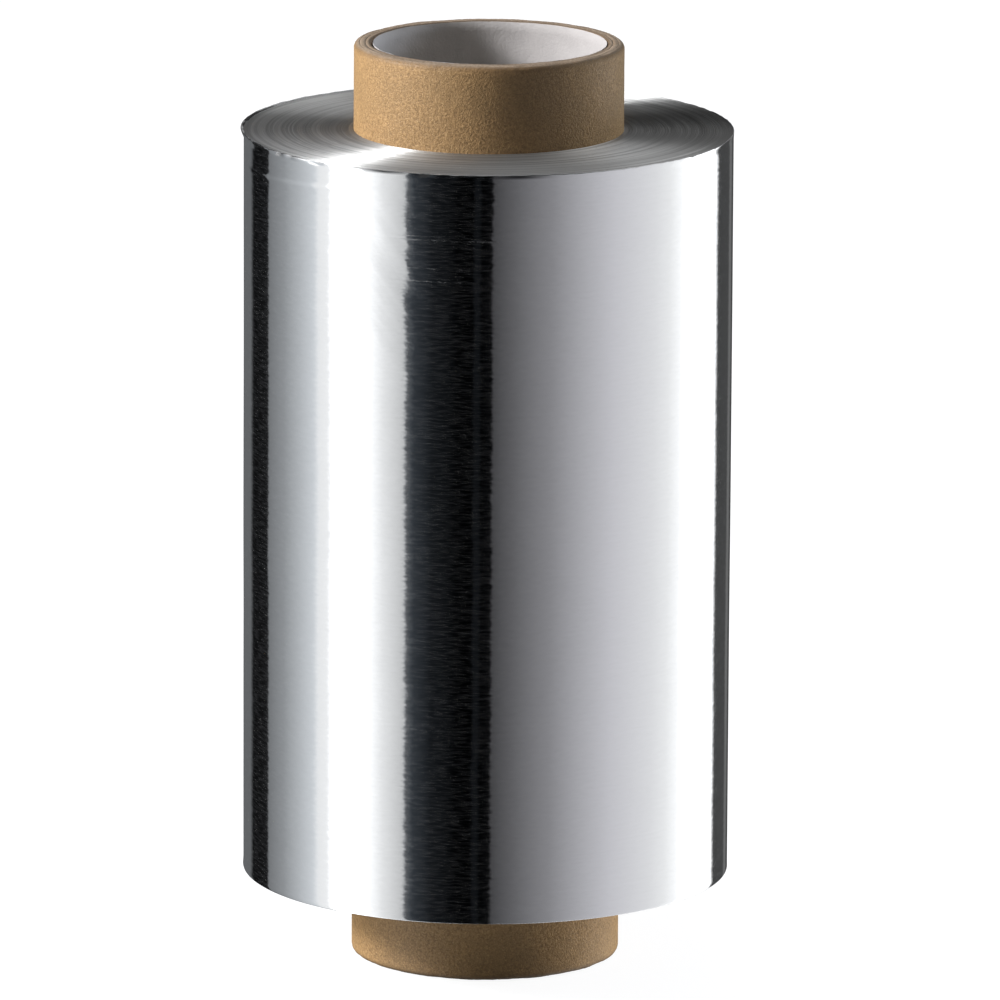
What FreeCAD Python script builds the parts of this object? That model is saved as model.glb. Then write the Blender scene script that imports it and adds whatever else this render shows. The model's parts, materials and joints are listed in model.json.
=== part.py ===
"""Aluminium foil wound on a cardboard core that stands out of the winding at both ends.

Units are millimetres. The roll stands upright: Z is the core's axis, and the origin is the centre of
the core's lower end. The wound foil is one solid whose two end faces show the turns as rings. The core is
a tube of brown board with a pale paper liner glued inside it.
"""

import FreeCAD
import Part

import math
import os

# Core
bore_diameter = 38.0
liner_thickness = 0.4
board_thickness = 2.9
lower_stub = 14.5
upper_stub = 14.5
board_edge_bevel = 0.7

# Winding
foil_width = 125.0
winding_build = 18.1
ring_count = 12
ring_depth = 0.2
ring_wander = 0.16

OUT = "parts"
UP = FreeCAD.Vector(0, 0, 1)
ORIGIN = FreeCAD.Vector(0, 0, 0)
FULL_TURN = 360.0
GOLDEN_TURN = math.pi * (3.0 - math.sqrt(5.0))

# Radii and heights that follow from the sizes above
bore_radius = bore_diameter / 2
board_inner_radius = bore_radius + liner_thickness
board_outer_radius = board_inner_radius + board_thickness
winding_outer_radius = board_outer_radius + winding_build
winding_bottom = lower_stub
winding_top = lower_stub + foil_width
core_length = lower_stub + foil_width + upper_stub


def turned(points):
    """Solid of revolution about the core's axis from (radius, height) points, listed once round."""
    corners = [FreeCAD.Vector(radius, 0, height) for radius, height in points]
    outline = Part.makePolygon(corners + corners[:1])
    return Part.Face(outline).revolve(ORIGIN, UP, FULL_TURN)


def tube(inner_radius, outer_radius, length):
    """Plain tube that stands on the origin."""
    outside = Part.makeCylinder(outer_radius, length)
    inside = Part.makeCylinder(inner_radius, length)
    return outside.cut(inside)


def edges_at(shape, radius):
    """The circular edges of a shape that have this radius."""
    found = []
    for edge in shape.Edges:
        if isinstance(edge.Curve, Part.Circle) and math.isclose(edge.Curve.Radius, radius, abs_tol=1e-6):
            found.append(edge)
    return found


def end_face(phase):
    """(radius, depth) points of an end face, from the core outwards: crests and the grooves between them.

    The turns wander a little as they are wound, so the crests are not all at one height. The innermost and
    the outermost turn stay at full width.
    """
    pitch = winding_build / ring_count
    points = [(board_outer_radius, 0.0)]
    for ring in range(1, ring_count):
        radius = board_outer_radius + pitch * ring
        crest = ring_wander * (0.5 + 0.5 * math.sin(ring * GOLDEN_TURN + phase))
        points.append((radius - pitch / 2, crest + ring_depth))
        points.append((radius, crest))
    points.append((winding_outer_radius - pitch / 2, ring_depth))
    points.append((winding_outer_radius, 0.0))
    return points


def foil_winding():
    """The wound foil: a thick ring that fits the core, with the turns showing on both end faces."""
    lower = [(radius, winding_bottom + depth) for radius, depth in end_face(0.0)]
    upper = [(radius, winding_top - depth) for radius, depth in end_face(math.pi / 2)]
    return turned(lower + upper[::-1])


def core_tube():
    """The brown board tube. Its outer edges are slightly bevelled where it was cut to length."""
    board = tube(board_inner_radius, board_outer_radius, core_length)
    bevel = min(board_edge_bevel, 0.45 * board_thickness)
    return board.makeChamfer(bevel, edges_at(board, board_outer_radius))


def core_liner():
    """The pale paper ply that lines the board tube from end to end."""
    return tube(bore_radius, board_inner_radius, core_length)


def main():
    os.makedirs(OUT, exist_ok=True)
    parts = {
        "foil_winding": foil_winding(),
        "core_tube": core_tube(),
        "core_liner": core_liner(),
    }
    for name, shape in parts.items():
        shape.exportStep(os.path.join(OUT, name + ".step"))
        print(name, "valid" if shape.isValid() else "NOT VALID", round(shape.Volume, 1), "mm3")
    print("roll diameter", 2 * winding_outer_radius, "core outside", 2 * board_outer_radius)
    print("core length", core_length)


main()
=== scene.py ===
"""The looks of an aluminium foil roll: bright wound foil on a brown board core with a pale paper liner.

Metres. The frame stands the roll upright on its core's lower end, with Z along the core's axis. The
camera looks along +Y. A bearing is an angle round the roll, counted from the camera's side, positive
towards +X.
"""

import collections
import json
import math

import bpy
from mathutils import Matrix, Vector, noise


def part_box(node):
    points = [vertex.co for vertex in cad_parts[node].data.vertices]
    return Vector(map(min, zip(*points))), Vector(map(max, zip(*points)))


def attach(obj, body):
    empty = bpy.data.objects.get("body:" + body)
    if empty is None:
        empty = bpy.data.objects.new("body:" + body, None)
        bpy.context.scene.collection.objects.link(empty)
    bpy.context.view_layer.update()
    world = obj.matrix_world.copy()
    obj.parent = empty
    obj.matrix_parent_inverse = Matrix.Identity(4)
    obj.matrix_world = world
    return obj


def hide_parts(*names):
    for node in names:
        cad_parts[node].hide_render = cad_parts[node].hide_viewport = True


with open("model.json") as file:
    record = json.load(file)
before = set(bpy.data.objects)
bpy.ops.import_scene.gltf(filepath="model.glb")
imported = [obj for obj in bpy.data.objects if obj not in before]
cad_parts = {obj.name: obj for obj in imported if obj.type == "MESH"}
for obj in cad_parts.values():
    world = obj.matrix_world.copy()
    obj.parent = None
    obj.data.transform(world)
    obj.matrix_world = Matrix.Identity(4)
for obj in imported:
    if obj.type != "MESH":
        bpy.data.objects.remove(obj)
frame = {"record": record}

MM = 0.001
FULL_TURN = 2 * math.pi
AXIS_UP = (0, 0, 1)
SEGMENTS = 384

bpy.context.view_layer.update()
FOIL_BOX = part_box("foil_winding")
BOARD_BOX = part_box("core_tube")
LINER_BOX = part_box("core_liner")

# Sizes of the roll, from the frame
foil_radius = FOIL_BOX[1].x
foil_bottom = FOIL_BOX[0].z
foil_top = FOIL_BOX[1].z
board_radius = BOARD_BOX[1].x
core_top = BOARD_BOX[1].z
board_inner_radius = LINER_BOX[1].x
core_bore = frame["record"]["mounts"][0]
bore_radius = core_bore["dims"]["r_mm"] * MM

# Surface detail that the solids leave out
turn_pitch = 0.32 * MM
turn_relief = 0.07 * MM
foil_corner = 0.12 * MM
board_corner = 0.85 * MM
ply_count = 3
ply_groove = 0.06 * MM
grain_relief = 0.12 * MM
scratch_width = 0.2 * MM
# Broken scratches round the side, as (depth below the upper rim, strength, middle x, half their reach)
SCRATCHES = (
    (4.7 * MM, 0.6, -40 * MM, 14 * MM),
    (10.4 * MM, 0.6, -8 * MM, 16 * MM),
    (11.0 * MM, 1.0, -6 * MM, 17 * MM),
    (15.7 * MM, 0.7, -7 * MM, 14 * MM),
    (17.8 * MM, 0.7, -7 * MM, 15 * MM),
    (26.6 * MM, 0.5, -7 * MM, 9 * MM),
    (76.1 * MM, 0.5, -3 * MM, 5 * MM),
    (87.0 * MM, 0.6, -5 * MM, 8 * MM),
    (92.6 * MM, 0.6, -9 * MM, 8 * MM),
)
# Faint crease round the upper left of the side: it lies at crease_depth where x is crease_middle
crease_depth = 4.7 * MM
crease_width = 0.7 * MM
crease_rise = 0.09
crease_middle = -36 * MM
crease_reach = 24 * MM
# Slanting tension wrinkles at the upper left of the side, as (middle, half their reach), in x and height
WRINKLES_ACROSS = (-18 * MM, 14 * MM)
WRINKLES_UP = (122 * MM, 24 * MM)
# Painted shadow lines under a turn that stands off at the upper rim, as (depth, middle x, half their reach)
lip_shadow_width = 0.5 * MM
LIP_SHADOW_LINES = ((0.36 * MM, 5.0 * MM, 7.0 * MM), (0.15 * MM, -17.0 * MM, 6.0 * MM))
# Where the upper rim is worn and nicked, as (bearing, half of its reach in degrees, strength)
WORN_RIM = ((-58, 30, 1.0), (-12, 18, 0.55), (58, 12, 0.8))
# Where the turns' edges are scuffed or hazy, and where a painted shade dims them, as (bearing, half of its
# reach in degrees)
SCUFFED_TURNS = (-72, 52)
HAZY_TURNS = (-66, 36)
PAINTED_SHADE_TURNS = (79, 18)


def smooth_window(value, centre, half_width):
    """1 at the centre, falling smoothly to 0 at half_width on either side."""
    reach = abs(value - centre) / half_width
    if reach >= 1:
        return 0.0
    return (1 - reach * reach) ** 2


def bearing_of(point):
    """Degrees round the roll from the camera's side, positive towards +X."""
    return math.degrees(math.atan2(point.x, -point.y))


def bearing_gap(one, other):
    """Smallest angle in degrees between two bearings."""
    return abs((one - other + 180) % 360 - 180)


def line_of(start, end, step):
    """Points along a straight profile line, start left out and end included."""
    length = math.dist(start, end)
    count = max(1, round(length / step))
    points = []
    for index in range(1, count + 1):
        share = index / count
        points.append((start[0] + (end[0] - start[0]) * share, start[1] + (end[1] - start[1]) * share))
    return points


def round_corner(centre, radius, start_degrees, end_degrees, steps=4):
    """Points of an arc in the profile's plane: 0 degrees points away from the axis, and 90 up."""
    points = []
    for index in range(steps + 1):
        angle = math.radians(start_degrees + (end_degrees - start_degrees) * index / steps)
        points.append((centre[0] + radius * math.cos(angle), centre[1] + radius * math.sin(angle)))
    return points


def turned_piece(name, profile):
    """Closed piece of revolution: a profile of (radius, height) points is drawn by extrusion, then spun."""
    bpy.ops.object.select_all(action="DESELECT")
    bpy.ops.mesh.primitive_plane_add(size=MM, location=(0, 0, 0))
    piece = bpy.context.object
    piece.name = name
    bpy.ops.object.mode_set(mode="EDIT")
    bpy.ops.mesh.merge(type="CENTER")
    here = profile[0]
    bpy.ops.transform.translate(value=(here[0], 0, here[1]))
    for point in profile[1:] + profile[:1]:
        step = (point[0] - here[0], 0, point[1] - here[1])
        bpy.ops.mesh.extrude_region_move(TRANSFORM_OT_translate={"value": step})
        here = point
    bpy.ops.mesh.select_all(action="SELECT")
    bpy.ops.mesh.spin(steps=SEGMENTS, angle=FULL_TURN, center=(0, 0, 0), axis=AXIS_UP)
    bpy.ops.mesh.select_all(action="SELECT")
    bpy.ops.mesh.remove_doubles(threshold=0.001 * MM)
    bpy.ops.mesh.normals_make_consistent(inside=False)
    bpy.ops.object.mode_set(mode="OBJECT")
    return piece


def wander(point, across, run, pitch, seed):
    """Noise from -1 to 1 that changes over run metres round the roll and over pitch metres across."""
    return noise.noise(Vector((point.x / run + seed, point.y / run, across / pitch)))


def foil_end_profile(level, outward):
    """End face of the winding, from the core outwards: edges of turns, some prouder than others."""
    count = round((foil_radius - foil_corner - board_radius) / turn_pitch)
    points = []
    for index in range(count):
        radius = board_radius + (foil_radius - foil_corner - board_radius) * index / count
        proud = turn_relief * math.cos(math.pi * index)
        drift = turn_relief * noise.noise(Vector((index * 0.37, outward * 5.1, 0.5)))
        points.append((radius, level - outward * (2 * turn_relief) + outward * (proud + drift)))
    return points


def foil_profile():
    """Outline of the winding's section, from its lower inner edge outwards and round to its upper one."""
    lower = foil_end_profile(foil_bottom, -1)
    upper = foil_end_profile(foil_top, 1)
    edge = foil_radius - foil_corner
    lower_corner = round_corner((edge, foil_bottom + foil_corner), foil_corner, -90, 0)
    upper_corner = round_corner((edge, foil_top - foil_corner), foil_corner, 0, 90)
    rim_reach = 6 * MM
    lower_step = 0.5 * MM
    plain_step = 4 * MM
    rim_step = 0.22 * MM
    below_rim = (foil_radius, foil_top - rim_reach)
    above_rim = (foil_radius, foil_bottom + rim_reach)
    side = line_of(lower_corner[-1], above_rim, lower_step)
    side += line_of(above_rim, below_rim, plain_step)
    side += line_of(below_rim, upper_corner[0], rim_step)
    return lower + lower_corner + side + upper_corner[1:] + upper[::-1]


def flare_at(bearing):
    """How far the outer turns curl outwards at the rim, as a share of the most, by bearing."""
    left = smooth_window(bearing_gap(bearing, -112), 0, 56)
    right = 0.1 * smooth_window(bearing_gap(bearing, 70), 0, 50)
    return max(left, right)


def worn_at(bearing):
    """How worn the upper rim is, from 0 to 1, by bearing."""
    worn = 0.0
    for middle, reach, share in WORN_RIM:
        worn = max(worn, share * smooth_window(bearing_gap(bearing, middle), 0, reach))
    return worn


def settle_turns(piece):
    """Moves the winding's vertices as handling left them: a curled rim, nicks and uneven turns."""
    rim_flare = 0.75 * MM
    flare_height = 1.3 * MM
    lower_flare = 0.1 * MM
    rim_wave = 0.10 * MM
    side_wave = 0.035 * MM
    nick_depth = 0.62 * MM
    curl = 0.3 * MM
    outer_turns = 2.2 * MM
    outermost_turns = 0.8 * MM
    curl_height = 0.8 * MM
    end_reach = 1.2 * MM
    core_margin = 0.05 * MM
    for vertex in piece.data.vertices:
        point = vertex.co
        radius = math.hypot(point.x, point.y)
        if radius < board_radius + core_margin:
            continue
        bearing = bearing_of(point)
        to_top = foil_top - point.z
        to_bottom = point.z - foil_bottom
        to_end = min(to_top, to_bottom)
        at_rim = smooth_window(radius, foil_radius, outer_turns)
        grow = side_wave * wander(point, point.z, 26 * MM, 18 * MM, 3.0) * at_rim
        flare = rim_flare if to_top < to_bottom else lower_flare
        grow += flare * flare_at(bearing) * smooth_window(to_end, 0, flare_height) * at_rim
        lift = 0.0
        if to_top < end_reach:
            turns = turn_relief * wander(point, radius, 16 * MM, 0.9 * MM, 7.0)
            ragged = rim_wave * wander(point, 0, 1.6 * MM, MM, 12.0)
            worn = worn_at(bearing)
            nicks = nick_depth * worn * max(0.0, wander(point, 0, 1.3 * MM, MM, 23.0) - 0.15)
            lift = turns + (ragged - nicks) * smooth_window(radius, foil_radius, outermost_turns)
            curled = curl * worn * wander(point, to_top, 2.3 * MM, MM, 37.0)
            grow += curled * smooth_window(to_top, 0, curl_height)
        elif to_bottom < end_reach:
            lift = -turn_relief * wander(point, radius, 16 * MM, 0.9 * MM, 7.0)
        scale = (radius + grow) / radius
        vertex.co = Vector((point.x * scale, point.y * scale, point.z + lift))


def board_profile():
    """Section of the board tube: rounded outer corners, and ply lines on the cut ends."""
    seen_step = 0.7 * MM
    hidden_step = 12 * MM
    wall = board_radius - board_inner_radius
    ends = {}
    for name, level, outward in (("lower", 0.0, -1), ("upper", core_top, 1)):
        points = [(board_inner_radius, level - outward * board_corner / 2)]
        points.append((board_inner_radius + board_corner / 3, level))
        for ply in range(1, ply_count):
            at = board_inner_radius + wall * ply / ply_count
            points.append((at - ply_groove, level))
            points.append((at, level - outward * ply_groove))
            points.append((at + ply_groove, level))
        ends[name] = points
    edge = board_radius - board_corner
    lower_corner = round_corner((edge, board_corner), board_corner, -90, 0)
    upper_corner = round_corner((edge, core_top - board_corner), board_corner, 0, 90)
    lower_wall = line_of(lower_corner[-1], (board_radius, foil_bottom), seen_step)
    hidden_wall = line_of((board_radius, foil_bottom), (board_radius, foil_top), hidden_step)
    upper_wall = line_of((board_radius, foil_top), upper_corner[0], seen_step)
    outside = lower_corner + lower_wall + hidden_wall + upper_wall + upper_corner[1:]
    return ends["lower"] + outside + ends["upper"][::-1]


def rough_board(piece):
    """Gives the cut board its slightly furred, uneven edges and a faintly uneven wall."""
    wall_wave = 0.03 * MM
    end_wave = 0.17 * MM
    worn_edge = 0.22 * MM
    worn_height = 1.3 * MM
    for vertex in piece.data.vertices:
        point = vertex.co
        radius = math.hypot(point.x, point.y)
        to_end = min(point.z, core_top - point.z)
        inside_winding = foil_bottom < point.z < foil_top
        grow = 0.0
        if radius > board_radius - board_corner and not inside_winding:
            grow = wall_wave * wander(point, point.z, 2.4 * MM, 2.4 * MM, 1.0) - wall_wave / 2
            dent = max(0.0, wander(point, 0, 2.2 * MM, MM, 15.0) - 0.1)
            grow -= worn_edge * dent * smooth_window(to_end, 0, worn_height)
        lift = 0.0
        if to_end < board_corner:
            inward = 1 if point.z < core_top / 2 else -1
            coarse = wander(point, radius, 5 * MM, 3 * MM, 5.0)
            fine = wander(point, radius, 0.8 * MM, 0.5 * MM, 9.0)
            lift = inward * end_wave * (0.5 + 0.5 * coarse + 0.5 * abs(fine))
        scale = (radius + grow) / radius
        vertex.co = Vector((point.x * scale, point.y * scale, point.z + lift))


def liner_profile():
    """Section of the paper liner: a thin wall that ends just short of the board's cut ends."""
    short = 0.12 * MM
    glue_gap = 0.03 * MM
    mouth_step = 0.8 * MM
    hidden_step = 10 * MM
    back_step = 1.6 * MM
    inner = bore_radius
    outer = board_inner_radius - glue_gap
    low = short
    high = core_top - short
    mouth = 22 * MM
    wall = line_of((inner, high), (inner, high - mouth), mouth_step)
    wall += line_of((inner, high - mouth), (inner, low + mouth), hidden_step)
    wall += line_of((inner, low + mouth), (inner, low), mouth_step)
    back = line_of((outer, low), (outer, low + mouth), back_step)
    back += line_of((outer, low + mouth), (outer, high - mouth), hidden_step)
    back += line_of((outer, high - mouth), (outer, high), back_step)
    return wall + [(outer, low)] + back


def loosen_liner(piece):
    """The paper stands a little off the board at the mouth, and its cut edge is not quite level."""
    gap = 0.24 * MM
    gap_depth = 3 * MM
    wave = 0.03 * MM
    edge_wave = 0.1 * MM
    edge_depth = 0.3 * MM
    for vertex in piece.data.vertices:
        point = vertex.co
        radius = math.hypot(point.x, point.y)
        bearing = bearing_of(point)
        to_top = core_top - point.z
        lift_off = smooth_window(bearing_gap(bearing, -92), 0, 46) * smooth_window(to_top, 0, gap_depth)
        grow = -gap * lift_off
        if radius < bore_radius + 0.1 * MM:
            grow -= wave * (0.5 + 0.5 * wander(point, point.z, 7 * MM, 7 * MM, 2.0))
        lift = 0.0
        if min(to_top, point.z) < edge_depth:
            inward = 1 if point.z < core_top / 2 else -1
            lift = inward * edge_wave * (0.5 + 0.5 * wander(point, 0, 3 * MM, MM, 4.0))
        scale = (radius + grow) / radius
        vertex.co = Vector((point.x * scale, point.y * scale, point.z + lift))


def smooth_shading(piece, degrees):
    """Shades a piece smooth, apart from edges sharper than the angle."""
    bpy.ops.object.select_all(action="DESELECT")
    piece.select_set(True)
    bpy.context.view_layer.objects.active = piece
    bpy.ops.object.shade_smooth_by_angle(angle=math.radians(degrees))


def seat(piece, node):
    """Puts a finished piece in the place of its solid."""
    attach(piece, "root")
    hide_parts(node)


# Material helpers
def add_node(tree, kind, **settings):
    """New node. A setting named like an input sets that input, and any other sets the node itself."""
    made = tree.nodes.new(kind)
    for name, value in settings.items():
        setattr(made, name, value)
    return made


def set_input(tree, socket, value):
    """Links a socket, or sets a constant on it."""
    if isinstance(value, bpy.types.NodeSocket):
        tree.links.new(value, socket)
    else:
        socket.default_value = value


def maths(tree, operation, first, second=0.0, third=0.0):
    """Result of a Math node."""
    made = add_node(tree, "ShaderNodeMath", operation=operation)
    for socket, value in zip(made.inputs, (first, second, third)):
        set_input(tree, socket, value)
    return made.outputs["Value"]


def vector_maths(tree, operation, first, second=(0, 0, 0)):
    """Result of a Vector Math node, as a vector."""
    made = add_node(tree, "ShaderNodeVectorMath", operation=operation)
    set_input(tree, made.inputs[0], first)
    set_input(tree, made.inputs[1], second)
    return made.outputs["Vector"]


def remap(tree, value, low, high, to_low=0.0, to_high=1.0, smooth=False):
    """Map Range from (low, high) to (to_low, to_high), held at its ends."""
    made = add_node(tree, "ShaderNodeMapRange", interpolation_type="SMOOTHSTEP" if smooth else "LINEAR")
    levels = {"Value": value, "From Min": low, "From Max": high, "To Min": to_low, "To Max": to_high}
    for name, level in levels.items():
        set_input(tree, made.inputs[name], level)
    return made.outputs["Result"]


# Places of a Mix node's sockets when it mixes colours
MIX_FACTOR = 0
MIX_FIRST = 6
MIX_SECOND = 7
MIX_RESULT = 2


def mix_colours(tree, factor, first, second):
    """Mix of two colours."""
    made = add_node(tree, "ShaderNodeMix", data_type="RGBA")
    set_input(tree, made.inputs[MIX_FACTOR], factor)
    set_input(tree, made.inputs[MIX_FIRST], first)
    set_input(tree, made.inputs[MIX_SECOND], second)
    return made.outputs[MIX_RESULT]


def fine_noise(tree, vector, scale, detail=2.0, roughness=0.5):
    """Noise value at a vector, in features of 1/scale."""
    made = add_node(tree, "ShaderNodeTexNoise")
    set_input(tree, made.inputs["Vector"], vector)
    made.inputs["Scale"].default_value = scale
    made.inputs["Detail"].default_value = detail
    made.inputs["Roughness"].default_value = roughness
    return made.outputs["Fac"]


Place = collections.namedtuple("Place", "vector x y height distance")


def place_on_roll(tree):
    """Object coordinates of a piece, with the height and the distance from the roll's axis."""
    coordinates = add_node(tree, "ShaderNodeTexCoord").outputs["Object"]
    split = add_node(tree, "ShaderNodeSeparateXYZ")
    tree.links.new(coordinates, split.inputs["Vector"])
    x, y, height = (split.outputs[axis] for axis in "XYZ")
    squares = maths(tree, "ADD", maths(tree, "MULTIPLY", x, x), maths(tree, "MULTIPLY", y, y))
    return Place(coordinates, x, y, height, maths(tree, "SQRT", squares))


def new_group(name, inputs, outputs):
    """Group with inputs {name: default} and outputs {name: socket type}; returns (group, in, out)."""
    group = bpy.data.node_groups.new(name, "ShaderNodeTree")
    for label, default in inputs.items():
        socket = group.interface.new_socket(name=label, in_out="INPUT", socket_type="NodeSocketFloat")
        socket.default_value = default
    for label, kind in outputs.items():
        group.interface.new_socket(name=label, in_out="OUTPUT", socket_type=kind)
    return group, group.nodes.new("NodeGroupInput"), group.nodes.new("NodeGroupOutput")


def streaks_group():
    """Streaks round the roll, Run metres long and Pitch metres across. Across is height or radius."""
    inputs = {"Across": 0.0, "Run": 20 * MM, "Pitch": 0.4 * MM, "Seed": 0.0}
    inputs.update({"Threshold": 0.5, "Softness": 0.5})
    group, given, result = new_group("streaks round the roll", inputs, {"Value": "NodeSocketFloat"})
    place = place_on_roll(group)
    run = given.outputs["Run"]
    sample = add_node(group, "ShaderNodeCombineXYZ")
    shifted = maths(group, "ADD", maths(group, "DIVIDE", place.x, run), given.outputs["Seed"])
    group.links.new(shifted, sample.inputs["X"])
    group.links.new(maths(group, "DIVIDE", place.y, run), sample.inputs["Y"])
    across = maths(group, "DIVIDE", given.outputs["Across"], given.outputs["Pitch"])
    group.links.new(across, sample.inputs["Z"])
    raw = fine_noise(group, sample.outputs["Vector"], 1.0)
    low = maths(group, "SUBTRACT", given.outputs["Threshold"], given.outputs["Softness"])
    high = maths(group, "ADD", given.outputs["Threshold"], given.outputs["Softness"])
    group.links.new(remap(group, raw, low, high), result.inputs["Value"])
    return group


def sideways_group():
    """Normal that leans round the roll by Lean radians, as thin foil does where it isn't quite taut."""
    outputs = {"Normal": "NodeSocketVector"}
    group, given, result = new_group("lean round the roll", {"Lean": 0.0}, outputs)
    place = place_on_roll(group)
    around = add_node(group, "ShaderNodeCombineXYZ")
    backwards = maths(group, "MULTIPLY", place.y, -1.0)
    group.links.new(maths(group, "DIVIDE", backwards, place.distance), around.inputs["X"])
    group.links.new(maths(group, "DIVIDE", place.x, place.distance), around.inputs["Y"])
    scaled = add_node(group, "ShaderNodeVectorMath", operation="SCALE")
    group.links.new(around.outputs["Vector"], scaled.inputs[0])
    group.links.new(given.outputs["Lean"], scaled.inputs["Scale"])
    plain = add_node(group, "ShaderNodeNewGeometry").outputs["Normal"]
    leaning = vector_maths(group, "ADD", plain, scaled.outputs["Vector"])
    group.links.new(vector_maths(group, "NORMALIZE", leaning), result.inputs["Normal"])
    return group


STREAKS = streaks_group()
SIDEWAYS = sideways_group()


def streaks(tree, across, run, pitch, seed, threshold=0.5, softness=0.5):
    """Value of the streaks group in a material."""
    made = add_node(tree, "ShaderNodeGroup", node_tree=STREAKS)
    set_input(tree, made.inputs["Across"], across)
    for name, value in (("Run", run), ("Pitch", pitch), ("Seed", seed)):
        made.inputs[name].default_value = value
    made.inputs["Threshold"].default_value = threshold
    made.inputs["Softness"].default_value = softness
    return made.outputs["Value"]


def new_material(name):
    """Empty material with a Principled shader on its output; returns (material, tree, shader)."""
    material = bpy.data.materials.new(name)
    material.use_nodes = True
    tree = material.node_tree
    tree.nodes.clear()
    shader = tree.nodes.new("ShaderNodeBsdfPrincipled")
    output = tree.nodes.new("ShaderNodeOutputMaterial")
    tree.links.new(shader.outputs["BSDF"], output.inputs["Surface"])
    return material, tree, shader


def bump(tree, height, distance, normal=None):
    """Normal of a Bump node over a height from 0 to 1 that stands for distance metres."""
    made = add_node(tree, "ShaderNodeBump")
    made.inputs["Distance"].default_value = distance
    set_input(tree, made.inputs["Height"], height)
    if normal is not None:
        tree.links.new(normal, made.inputs["Normal"])
    return made.outputs["Normal"]


def band(tree, value, centre, half_width):
    """Mask that is 1 at the centre and falls to 0 at half_width on either side."""
    off = maths(tree, "ABSOLUTE", maths(tree, "SUBTRACT", value, centre))
    return remap(tree, off, 0.0, half_width, 1.0, 0.0, smooth=True)


def scratch_lines(tree, place):
    """Mask of the broken scratches that run round the roll a little below its upper rim."""
    total = 0.0
    for depth, strength, middle, reach in SCRATCHES:
        line = band(tree, place.height, foil_top - depth, scratch_width)
        line = maths(tree, "MULTIPLY", line, strength)
        here = maths(tree, "MULTIPLY", line, band(tree, place.x, middle, reach))
        total = maths(tree, "MAXIMUM", here, total)
    broken = streaks(tree, place.height, 1.2 * MM, 0.3 * MM, 21.0, threshold=0.46, softness=0.12)
    return maths(tree, "MULTIPLY", total, broken)


def lip_shadow_lines(tree, place):
    """Mask of the painted shadow lines under the turn that stands off at the upper rim."""
    total = 0.0
    for depth, middle, reach in LIP_SHADOW_LINES:
        line = band(tree, place.height, foil_top - depth, lip_shadow_width)
        here = maths(tree, "MULTIPLY", line, band(tree, place.x, middle, reach))
        total = maths(tree, "MAXIMUM", here, total)
    return total


def slack_lean(tree, place):
    """Lean of the side in radians: slow waves round it, and wrinkles and a crease at its upper left."""
    wave_lean = 0.012
    wrinkle_slant = 1.3
    wrinkle_lean = 0.035
    crease_lean = 0.03
    waves = streaks(tree, place.height, 24 * MM, 9 * MM, 8.0)
    waves = maths(tree, "MULTIPLY", maths(tree, "SUBTRACT", waves, 0.5), wave_lean)
    slant = maths(tree, "ADD", place.height, maths(tree, "MULTIPLY", place.x, wrinkle_slant))
    wrinkles = streaks(tree, slant, 60 * MM, 3.2 * MM, 17.0, softness=0.25)
    wrinkles = maths(tree, "MULTIPLY", maths(tree, "SUBTRACT", wrinkles, 0.5), wrinkle_lean)
    here = band(tree, place.height, *WRINKLES_UP)
    here = maths(tree, "MULTIPLY", here, band(tree, place.x, *WRINKLES_ACROSS))
    crease_start = foil_top - crease_depth - crease_middle * crease_rise
    crease_height = maths(tree, "MULTIPLY_ADD", place.x, crease_rise, crease_start)
    crease = band(tree, place.height, crease_height, crease_width)
    crease = maths(tree, "MULTIPLY", crease, band(tree, place.x, crease_middle, crease_reach))
    total = maths(tree, "ADD", waves, maths(tree, "MULTIPLY", wrinkles, here))
    return maths(tree, "ADD", total, maths(tree, "MULTIPLY", crease, crease_lean))


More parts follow.
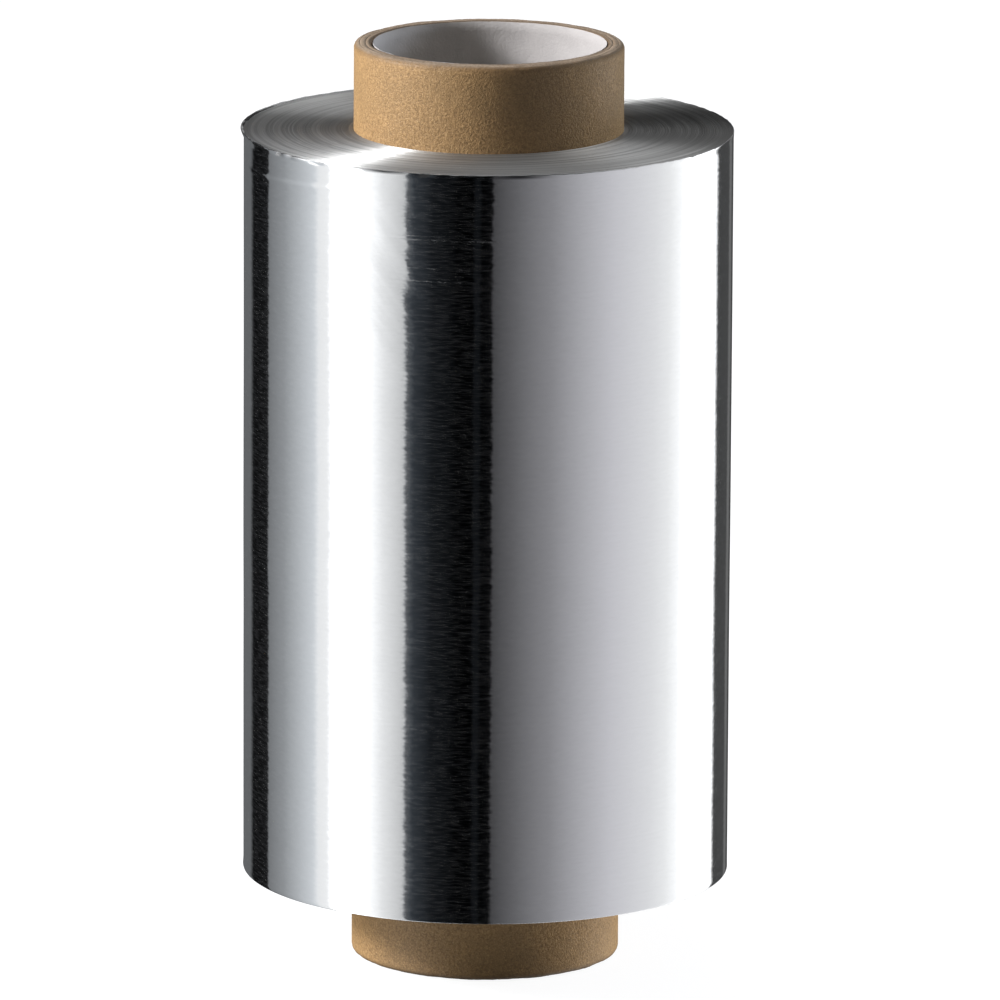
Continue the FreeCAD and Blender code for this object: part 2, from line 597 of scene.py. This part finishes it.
def bright_foil():
    """Bright rolled side of the foil: a mirror crossed by fine lines, some hazy, with a slack lean, and
    painted shadow lines under its upper rim.
    """
    clean = (0.90, 0.915, 0.93, 1.0)
    lined = (0.88, 0.895, 0.91, 1.0)
    shadowed = (0.10, 0.10, 0.105, 1.0)
    ragged_lean = 0.012
    metal_of_hairs = 0.983
    clean_roughness = 0.05
    hair_roughness = 0.085
    scratch_roughness = 0.3
    speck_roughness = 0.06
    faint_strength = 0.4
    material, tree, shader = new_material("bright foil")
    place = place_on_roll(tree)
    rolling = streaks(tree, place.height, 22 * MM, 0.3 * MM, 0.0)
    hairs = streaks(tree, place.height, 2.1 * MM, 0.27 * MM, 31.0, threshold=0.56, softness=0.15)
    fewer_at_left = remap(tree, place.x, -34 * MM, -28 * MM, 0.5, 1.0)
    hairs = maths(tree, "MULTIPLY", hairs, fewer_at_left)
    ragged = streaks(tree, place.height, 1.4 * MM, 0.5 * MM, 4.0, softness=0.25)
    faint = streaks(tree, place.height, 9 * MM, 0.3 * MM, 13.0, threshold=0.76, softness=0.05)
    faint = maths(tree, "MULTIPLY", faint, faint_strength)
    scratches = maths(tree, "MAXIMUM", faint, scratch_lines(tree, place))
    specks = remap(tree, fine_noise(tree, place.vector, 2600.0), 0.56, 0.76)

    lean = maths(tree, "MULTIPLY", maths(tree, "SUBTRACT", ragged, 0.5), ragged_lean)
    leaning = add_node(tree, "ShaderNodeGroup", node_tree=SIDEWAYS)
    tree.links.new(maths(tree, "ADD", lean, slack_lean(tree, place)), leaning.inputs["Lean"])
    tree.links.new(leaning.outputs["Normal"], shader.inputs["Normal"])

    roughness = remap(tree, hairs, 0.0, 1.0, clean_roughness, hair_roughness)
    scratched = maths(tree, "MULTIPLY", scratches, scratch_roughness)
    roughness = maths(tree, "ADD", roughness, scratched)
    roughness = maths(tree, "ADD", roughness, maths(tree, "MULTIPLY", specks, speck_roughness))
    tree.links.new(roughness, shader.inputs["Roughness"])

    tone = mix_colours(tree, rolling, lined, clean)
    # Painted shadow: the dark lines under the turn that stands off at the upper rim
    tone = mix_colours(tree, lip_shadow_lines(tree, place), tone, shadowed)
    tree.links.new(tone, shader.inputs["Base Color"])
    tree.links.new(remap(tree, hairs, 0.0, 1.0, 1.0, metal_of_hairs), shader.inputs["Metallic"])
    return material


def inward_lean(tree, place, amount):
    """Normal that leans towards the roll's axis, as each cut edge lies against the turn inside it."""
    inward = add_node(tree, "ShaderNodeCombineXYZ")
    for axis, value in (("X", place.x), ("Y", place.y)):
        share = maths(tree, "DIVIDE", maths(tree, "MULTIPLY", value, -amount), place.distance)
        tree.links.new(share, inward.inputs[axis])
    plain = add_node(tree, "ShaderNodeNewGeometry").outputs["Normal"]
    leaning = vector_maths(tree, "ADD", plain, inward.outputs["Vector"])
    return vector_maths(tree, "NORMALIZE", leaning)


def bearing_band(tree, bearing, place_and_reach):
    """Mask round a bearing, from (middle, half of its reach) in degrees."""
    middle, reach = place_and_reach
    return band(tree, bearing, math.radians(middle), math.radians(reach))


def turned_edges():
    """The turns' cut edges: fine concentric lines that spread the light away from the axis, and a painted
    shade on the right.
    """
    dull = (0.47, 0.475, 0.475, 1)
    bright = (0.93, 0.935, 0.935, 1)
    edge_shade_grey = (0.25, 0.25, 0.25, 1)
    metal_where_hazy = 0.91
    edge_shade_strength = 0.6
    scuff_roughness = 0.42
    band_share = 0.65
    edge_lean = 0.2
    material, tree, shader = new_material("edges of the turns")
    place = place_on_roll(tree)
    bands = streaks(tree, place.distance, 70 * MM, 0.62 * MM, 2.0, softness=0.2)
    lines = streaks(tree, place.distance, 40 * MM, 0.2 * MM, 6.0, softness=0.25)
    tone = maths(tree, "MULTIPLY", bands, band_share)
    tone = maths(tree, "ADD", tone, maths(tree, "MULTIPLY", lines, 1 - band_share))
    bearing = maths(tree, "ARCTAN2", place.x, maths(tree, "MULTIPLY", place.y, -1.0))
    # Painted shade: the edges dim round a bearing on the right
    edge_shade = bearing_band(tree, bearing, PAINTED_SHADE_TURNS)
    edge_shade = maths(tree, "MULTIPLY", edge_shade, edge_shade_strength)
    colour = mix_colours(tree, edge_shade, mix_colours(tree, tone, dull, bright), edge_shade_grey)
    tree.links.new(colour, shader.inputs["Base Color"])
    hazy = bearing_band(tree, bearing, HAZY_TURNS)
    tree.links.new(remap(tree, hazy, 0.0, 1.0, 1.0, metal_where_hazy), shader.inputs["Metallic"])
    scuffed = bearing_band(tree, bearing, SCUFFED_TURNS)
    plain_roughness = remap(tree, bands, 0.2, 0.8, 0.40, 0.46)
    scuffed = maths(tree, "MULTIPLY", scuffed, scuff_roughness)
    roughness = maths(tree, "ADD", plain_roughness, scuffed)
    tree.links.new(roughness, shader.inputs["Roughness"])
    nicked = remap(tree, fine_noise(tree, place.vector, 1500.0), 0.70, 0.76)
    relief = maths(tree, "ADD", maths(tree, "MULTIPLY", lines, 0.4), nicked)
    leaning = inward_lean(tree, place, edge_lean)
    tree.links.new(bump(tree, relief, grain_relief, leaning), shader.inputs["Normal"])
    shader.inputs["Anisotropic"].default_value = 1.0
    shader.inputs["Anisotropic Rotation"].default_value = 0.25
    around = add_node(tree, "ShaderNodeTangent", direction_type="RADIAL", axis="Z")
    tree.links.new(around.outputs["Tangent"], shader.inputs["Tangent"])
    return material


def board_wall_colour(tree, place, mottle, fibre):
    """Colour of the board's wall: mottled brown, with flecks, pits, and a dark patch on the front of the
    upper stub, right of the middle and towards its top.
    """
    shade = (0.205, 0.120, 0.048, 1)
    brown = (0.378, 0.230, 0.098, 1)
    clouded = (0.22, 0.137, 0.06, 1)
    pale_fleck = (0.52, 0.35, 0.17, 1)
    dark_pit = (0.16, 0.095, 0.045, 1)
    dark_patch_brown = (0.10, 0.066, 0.042, 1)
    dark_patch_height = 20 * MM
    dark_patch_middle = 7 * MM
    dark_patch_reach = 13 * MM
    dark_patch_strength = 0.34
    cloud = fine_noise(tree, place.vector, 160.0, detail=3.0)
    base = mix_colours(tree, remap(tree, mottle, 0.3, 0.7), shade, brown)
    base = mix_colours(tree, remap(tree, cloud, 0.35, 0.65, 0.0, 0.45), base, clouded)
    base = mix_colours(tree, remap(tree, fibre, 0.58, 0.72, 0.0, 0.45), base, pale_fleck)
    base = mix_colours(tree, remap(tree, fibre, 0.42, 0.28, 0.0, 0.5), base, dark_pit)
    # A dark patch on the front of the upper stub, strongest towards its top
    dark_patch = band(tree, place.height, core_top, dark_patch_height)
    dark_patch = maths(tree, "MULTIPLY", dark_patch, band(tree, place.x, dark_patch_middle, dark_patch_reach))
    in_front = remap(tree, place.y, -12 * MM, -18 * MM, 0.0, dark_patch_strength)
    return mix_colours(tree, maths(tree, "MULTIPLY", dark_patch, in_front), base, dark_patch_brown)


def cut_board_colour(tree, place, mottle):
    """Colour of the board's cut ends: greyer plies, and a painted shade where the liner meets them."""
    dark_ply = (0.12, 0.085, 0.055, 1)
    pale_ply = (0.36, 0.28, 0.20, 1)
    fringe_shade_brown = (0.10, 0.07, 0.045, 1)
    plies = streaks(tree, place.distance, 6 * MM, 0.5 * MM, 3.0, softness=0.22)
    torn = remap(tree, mottle, 0.35, 0.65)
    tone = maths(tree, "MULTIPLY", maths(tree, "ADD", plies, torn), 0.5)
    cut = mix_colours(tree, tone, dark_ply, pale_ply)
    # Painted shade on the cut end, next to the liner
    fringe_from = board_inner_radius + 0.3 * MM
    fringe_to = board_inner_radius + 0.7 * MM
    painted_fringe_shade = remap(tree, place.distance, fringe_from, fringe_to, 0.9, 0.0)
    return mix_colours(tree, painted_fringe_shade, cut, fringe_shade_brown)


def kraft_board():
    """Brown board with short fibres, pale and dark flecks, edges dulled by dirt and painted shade, and
    greyer cut ends.
    """
    dirt_and_shade = (0.09, 0.055, 0.028, 1)
    material, tree, shader = new_material("kraft board")
    place = place_on_roll(tree)
    mottle = fine_noise(tree, place.vector, 2300.0)
    fibre = fine_noise(tree, place.vector, 4600.0, detail=1.0)
    to_end = maths(tree, "MINIMUM", place.height, maths(tree, "SUBTRACT", core_top, place.height))
    wall = board_wall_colour(tree, place, mottle, fibre)
    # Dirt and painted shade: the wall dims in patches near both cut ends
    dirt_and_shade_mask = remap(tree, to_end, 0.4 * MM, 1.2 * MM, 0.75, 0.0)
    dirt_and_shade_mask = maths(tree, "MULTIPLY", dirt_and_shade_mask, remap(tree, mottle, 0.3, 0.6))
    wall = mix_colours(tree, dirt_and_shade_mask, wall, dirt_and_shade)
    cut_end = remap(tree, to_end, 0.12 * MM, 0.45 * MM, 0.9, 0.0)
    colour = mix_colours(tree, cut_end, wall, cut_board_colour(tree, place, mottle))
    tree.links.new(colour, shader.inputs["Base Color"])
    coarse = maths(tree, "MULTIPLY", mottle, 0.65)
    relief = maths(tree, "ADD", coarse, maths(tree, "MULTIPLY", fibre, 0.35))
    tree.links.new(bump(tree, relief, grain_relief), shader.inputs["Normal"])
    tree.links.new(remap(tree, mottle, 0.3, 0.7, 0.54, 0.46), shader.inputs["Roughness"])
    shader.inputs["Specular IOR Level"].default_value = 0.55
    return material


def liner_paper():
    """Pale warm grey paper with a faint cloudiness, and a painted shade that dims it a little towards +X."""
    cloudy = (0.37, 0.347, 0.322, 1)
    clear = (0.43, 0.403, 0.374, 1)
    grain_pit = (0.31, 0.295, 0.265, 1)
    liner_shade_grey = (0.25, 0.233, 0.216, 1)
    liner_shade_share = 0.4
    material, tree, shader = new_material("liner paper")
    place = place_on_roll(tree)
    cloud = fine_noise(tree, place.vector, 220.0, detail=3.0)
    grain = fine_noise(tree, place.vector, 2400.0)
    base = mix_colours(tree, remap(tree, cloud, 0.3, 0.7), cloudy, clear)
    base = mix_colours(tree, remap(tree, grain, 0.35, 0.25, 0.0, 0.4), base, grain_pit)
    # Painted shade: the paper dims towards +X
    liner_shade_to_right = remap(tree, place.x, 0.0, 17 * MM, 0.0, liner_shade_share)
    base = mix_colours(tree, liner_shade_to_right, base, liner_shade_grey)
    tree.links.new(base, shader.inputs["Base Color"])
    waves = maths(tree, "MULTIPLY", cloud, 0.6)
    relief = maths(tree, "ADD", waves, maths(tree, "MULTIPLY", grain, 0.4))
    tree.links.new(bump(tree, relief, grain_relief), shader.inputs["Normal"])
    tree.links.new(remap(tree, grain, 0.3, 0.7, 0.7, 0.85), shader.inputs["Roughness"])
    return material


# Pieces, and the angles in degrees from which an edge of theirs shows sharp
sharp_edge = 70
sharp_paper_edge = 50


def make_foil():
    """The wound foil: its side is bright, and all else of it shows the turns' edges."""
    side_from = foil_radius - 0.6 * foil_corner
    piece = turned_piece("wound_foil", foil_profile())
    settle_turns(piece)
    piece.data.materials.append(bright_foil())
    piece.data.materials.append(turned_edges())
    for face in piece.data.polygons:
        on_side = math.hypot(face.center.x, face.center.y) > side_from
        face.material_index = 0 if on_side else 1
    smooth_shading(piece, sharp_edge)
    seat(piece, "foil_winding")


def make_board():
    """The brown board tube."""
    piece = turned_piece("core_board", board_profile())
    rough_board(piece)
    piece.data.materials.append(kraft_board())
    smooth_shading(piece, sharp_edge)
    seat(piece, "core_tube")


def make_liner():
    """The pale paper inside the board."""
    piece = turned_piece("core_paper", liner_profile())
    loosen_liner(piece)
    piece.data.materials.append(liner_paper())
    smooth_shading(piece, sharp_paper_edge)
    seat(piece, "core_liner")


# Studio
# What stands round the roll, as (bearing in degrees, brightness) points joined by straight lines. The
# first list is what the side mirrors, from below the horizon, and the second is what stands above it.
LOWER_STUDIO = (
    (-180.0, 0.08),
    (-168.0, 0.13),
    (-158.0, 0.13),
    (-151.0, 0.13),
    (-146.0, 0.006),
    (-139.0, 0.005),
    (-132.0, 0.007),
    (-127.3, 0.010),
    (-126.0, 0.185),
    (-112.0, 0.30),
    (-100.0, 0.485),
    (-91.0, 0.65),
    (-89.5, 0.70),
    (-87.0, 0.87),
    (-81.0, 0.93),
    (-79.5, 1.15),
    (-76.0, 2.60),
    (-64.0, 2.60),
    (-60.0, 1.15),
    (-56.0, 1.14),
    (-50.0, 0.85),
    (-39.6, 0.565),
    (-38.1, 0.10),
    (-34.6, 0.035),
    (-25.8, 0.0085),
    (-14.0, 0.0008),
    (-6.6, 0.0003),
    (-6.2, 0.006),
    (-3.4, 0.005),
    (-3.0, 0.0003),
    (1.9, 0.002),
    (2.7, 0.060),
    (12.0, 0.119),
    (30.0, 0.252),
    (45.0, 0.418),
    (62.0, 0.598),
    (85.0, 0.772),
    (95.0, 0.895),
    (104.0, 1.12),
    (108.0, 1.80),
    (135.0, 1.80),
    (136.0, 1.20),
    (139.4, 0.055),
    (157.0, 0.06),
    (160.0, 0.15),
    (163.5, 0.15),
    (167.0, 0.06),
    (180.0, 0.08),
)
UPPER_STUDIO = (
    (-180.0, 0.03),
    (-150.0, 0.03),
    (-130.0, 0.05),
    (-118.0, 0.32),
    (-104.0, 0.55),
    (-98.0, 0.60),
    (-92.0, 1.30),
    (-68.0, 1.30),
    (-54.0, 0.60),
    (-40.0, 0.30),
    (-37.0, 0.03),
    (42.0, 0.03),
    (70.0, 0.38),
    (100.0, 0.85),
    (136.0, 0.66),
    (143.0, 0.05),
    (150.0, 0.18),
    (168.0, 0.17),
    (174.0, 0.29),
    (179.0, 0.29),
    (180.0, 0.03),
)
# The strong softbox at the left: where it stands, in degrees of bearing and height, and its brightness
KEY_BEARINGS = (-91.5, -75.5)
KEY_HEIGHTS = (21.0, 37.0)
key_brightness = 28.0
key_edge = 2.5
# Heights in degrees over which the lower studio turns into the upper one, and that into the dim ceiling
HORIZON = (-6.0, 0.0)
CEILING = (44.0, 62.0)
ceiling_brightness = 0.34
# Tints of what the side mirrors: on the left, in the dark gap in front, and on the right
LEFT_TINT = (0.965, 1.0, 1.035, 1)
GAP_TINT = (0.86, 1.0, 1.18, 1)
RIGHT_TINT = (0.995, 0.98, 1.03, 1)
NO_TINT = (1, 1, 1, 1)
# Bearings in degrees over which one tint turns into the next, from left to right
LEFT_TINT_FADES = (-90.0, -86.0)
GAP_TINT_STARTS = (-39.6, -34.6)
GAP_TINT_ENDS = (-0.6, 2.7)
RIGHT_TINT_FADES = (60.0, 95.0)


def panorama(tree, degrees, points):
    """Brightness all round, from (bearing, brightness) points joined by straight lines."""
    level = points[0][1]
    for (start, before), (end, after) in zip(points[:-1], points[1:]):
        if after != before:
            level = maths(tree, "ADD", remap(tree, degrees, start, end, 0.0, after - before), level)
    return level


def between(tree, value, limits, edge):
    """Mask that is 1 between two limits and falls to 0 over a soft edge beyond them."""
    rise = remap(tree, value, limits[0] - edge, limits[0] + edge, smooth=True)
    fall = remap(tree, value, limits[1] - edge, limits[1] + edge, 1.0, 0.0, smooth=True)
    return maths(tree, "MULTIPLY", rise, fall)


def tinted(tree, degrees, brightness):
    """Brightness of the lower studio in its tints, as a colour."""
    left = mix_colours(tree, remap(tree, degrees, *LEFT_TINT_FADES), LEFT_TINT, NO_TINT)
    gap = mix_colours(tree, remap(tree, degrees, *GAP_TINT_STARTS), left, GAP_TINT)
    right = mix_colours(tree, remap(tree, degrees, *GAP_TINT_ENDS), gap, RIGHT_TINT)
    tint = mix_colours(tree, remap(tree, degrees, *RIGHT_TINT_FADES), right, NO_TINT)
    made = add_node(tree, "ShaderNodeVectorMath", operation="SCALE")
    tree.links.new(tint, made.inputs[0])
    tree.links.new(brightness, made.inputs["Scale"])
    return made.outputs["Vector"]


def studio_world():
    """White to the camera. To all else, panels and dark gaps that stand all round, and a dim ceiling."""
    world = bpy.data.worlds.new("studio")
    bpy.context.scene.world = world
    world.use_nodes = True
    tree = world.node_tree
    tree.nodes.clear()
    direction = add_node(tree, "ShaderNodeTexCoord").outputs["Generated"]
    split = add_node(tree, "ShaderNodeSeparateXYZ")
    tree.links.new(direction, split.inputs["Vector"])
    towards_camera = maths(tree, "MULTIPLY", split.outputs["Y"], -1.0)
    bearing = maths(tree, "ARCTAN2", split.outputs["X"], towards_camera)
    degrees = maths(tree, "MULTIPLY", bearing, math.degrees(1.0))
    height = maths(tree, "MULTIPLY", maths(tree, "ARCSINE", split.outputs["Z"]), math.degrees(1.0))
    lower = panorama(tree, degrees, LOWER_STUDIO)
    upper = panorama(tree, degrees, UPPER_STUDIO)
    is_lower = remap(tree, height, *HORIZON, 1.0, 0.0, smooth=True)
    is_upper = remap(tree, height, *HORIZON, 0.0, 1.0, smooth=True)
    below_ceiling = remap(tree, height, *CEILING, 1.0, 0.0, smooth=True)
    ceiling = remap(tree, height, *CEILING, 0.0, ceiling_brightness, smooth=True)
    low_part = tinted(tree, degrees, maths(tree, "MULTIPLY", lower, is_lower))
    high_part = maths(tree, "MULTIPLY", maths(tree, "MULTIPLY", upper, is_upper), below_ceiling)
    softbox = maths(tree, "MULTIPLY", between(tree, degrees, KEY_BEARINGS, key_edge), key_brightness)
    softbox = maths(tree, "MULTIPLY", softbox, between(tree, height, KEY_HEIGHTS, key_edge))
    above = maths(tree, "ADD", maths(tree, "ADD", high_part, softbox), ceiling)
    around = add_node(tree, "ShaderNodeBackground")
    tree.links.new(vector_maths(tree, "ADD", low_part, above), around.inputs["Color"])
    backdrop = add_node(tree, "ShaderNodeBackground")
    backdrop.inputs["Color"].default_value = (1, 1, 1, 1)
    mixed = add_node(tree, "ShaderNodeMixShader")
    rays = add_node(tree, "ShaderNodeLightPath")
    tree.links.new(rays.outputs["Is Camera Ray"], mixed.inputs["Fac"])
    tree.links.new(around.outputs["Background"], mixed.inputs[1])
    tree.links.new(backdrop.outputs["Background"], mixed.inputs[2])
    output = add_node(tree, "ShaderNodeOutputWorld")
    tree.links.new(mixed.outputs["Shader"], output.inputs["Surface"])


def white_floor():
    """Floor under the roll: white with a trace of shadow to the camera, and dull grey to all else."""
    bounce = (0.32, 0.31, 0.26, 1)
    shadow_catch = (0.14, 0.14, 0.14, 1)
    glow_strength = 0.92
    floor_radius = 4.0
    bpy.ops.object.select_all(action="DESELECT")
    bpy.ops.mesh.primitive_circle_add(vertices=96, radius=floor_radius, fill_type="NGON", location=(0, 0, 0))
    floor = bpy.context.object
    floor.name = "floor"
    floor.visible_glossy = False
    material, tree, shader = new_material("white floor")
    tree.nodes.remove(shader)
    output = tree.nodes["Material Output"]
    plain = add_node(tree, "ShaderNodeBsdfDiffuse")
    plain.inputs["Color"].default_value = bounce
    seen = add_node(tree, "ShaderNodeBsdfDiffuse")
    seen.inputs["Color"].default_value = shadow_catch
    glow = add_node(tree, "ShaderNodeEmission")
    glow.inputs["Strength"].default_value = glow_strength
    both = add_node(tree, "ShaderNodeAddShader")
    tree.links.new(seen.outputs["BSDF"], both.inputs[0])
    tree.links.new(glow.outputs["Emission"], both.inputs[1])
    mixed = add_node(tree, "ShaderNodeMixShader")
    rays = add_node(tree, "ShaderNodeLightPath")
    tree.links.new(rays.outputs["Is Camera Ray"], mixed.inputs["Fac"])
    tree.links.new(plain.outputs["BSDF"], mixed.inputs[1])
    tree.links.new(both.outputs["Shader"], mixed.inputs[2])
    tree.links.new(mixed.outputs["Shader"], output.inputs["Surface"])
    floor.data.materials.append(material)


def soft_light(name, bearing, height, distance, size, power, colour):
    """Soft lamp at a bearing, facing the roll. It lights the roll but isn't mirrored in it."""
    roll_middle = Vector((0, 0, 0.08))
    lamp = bpy.data.lights.new(name, "AREA")
    lamp.shape = "RECTANGLE"
    lamp.size = size[0]
    lamp.size_y = size[1]
    lamp.energy = power
    lamp.color = colour
    stand = bpy.data.objects.new(name, lamp)
    bpy.context.scene.collection.objects.link(stand)
    turn = math.radians(bearing)
    stand.location = (distance * math.sin(turn), -distance * math.cos(turn), height)
    aim = roll_middle - stand.location
    stand.rotation_euler = aim.to_track_quat("-Z", "Y").to_euler()
    stand.visible_glossy = False
    stand.visible_camera = False


def photo_camera():
    """Long lens, looking down on the roll as the photo does, and leaning by a fraction of a degree."""
    distance = 1.985
    look_down = math.radians(12.66)
    lean = math.radians(0.30)
    aim = Vector((0.00216, 0, 0.07671))
    lens = bpy.data.cameras.new("camera")
    lens.sensor_width = 36
    lens.lens = 430.6
    camera = bpy.data.objects.new("camera", lens)
    bpy.context.scene.collection.objects.link(camera)
    back = Vector((0, -math.cos(look_down), math.sin(look_down)))
    camera.location = aim + back * distance
    camera.rotation_euler = back.to_track_quat("Z", "Y").to_euler()
    camera.rotation_euler.rotate_axis("Z", lean)
    bpy.context.scene.camera = camera


make_foil()
make_board()
make_liner()
studio_world()
white_floor()
soft_light("left softbox", -83, 0.65, 1.0, (0.28, 0.28), 21.5, (1.0, 1.02, 1.13))
soft_light("right panel", 116, 0.36, 1.0, (0.3, 0.3), 6.3, (0.80, 0.94, 1.18))
soft_light("low left", -106, 0.012, 0.13, (0.03, 0.02), 0.1, (1.0, 0.99, 0.97))
soft_light("low right", 100, 0.012, 0.13, (0.03, 0.02), 0.14, (1.0, 0.99, 0.97))
photo_camera()
bpy.context.scene.view_settings.view_transform = "Standard"
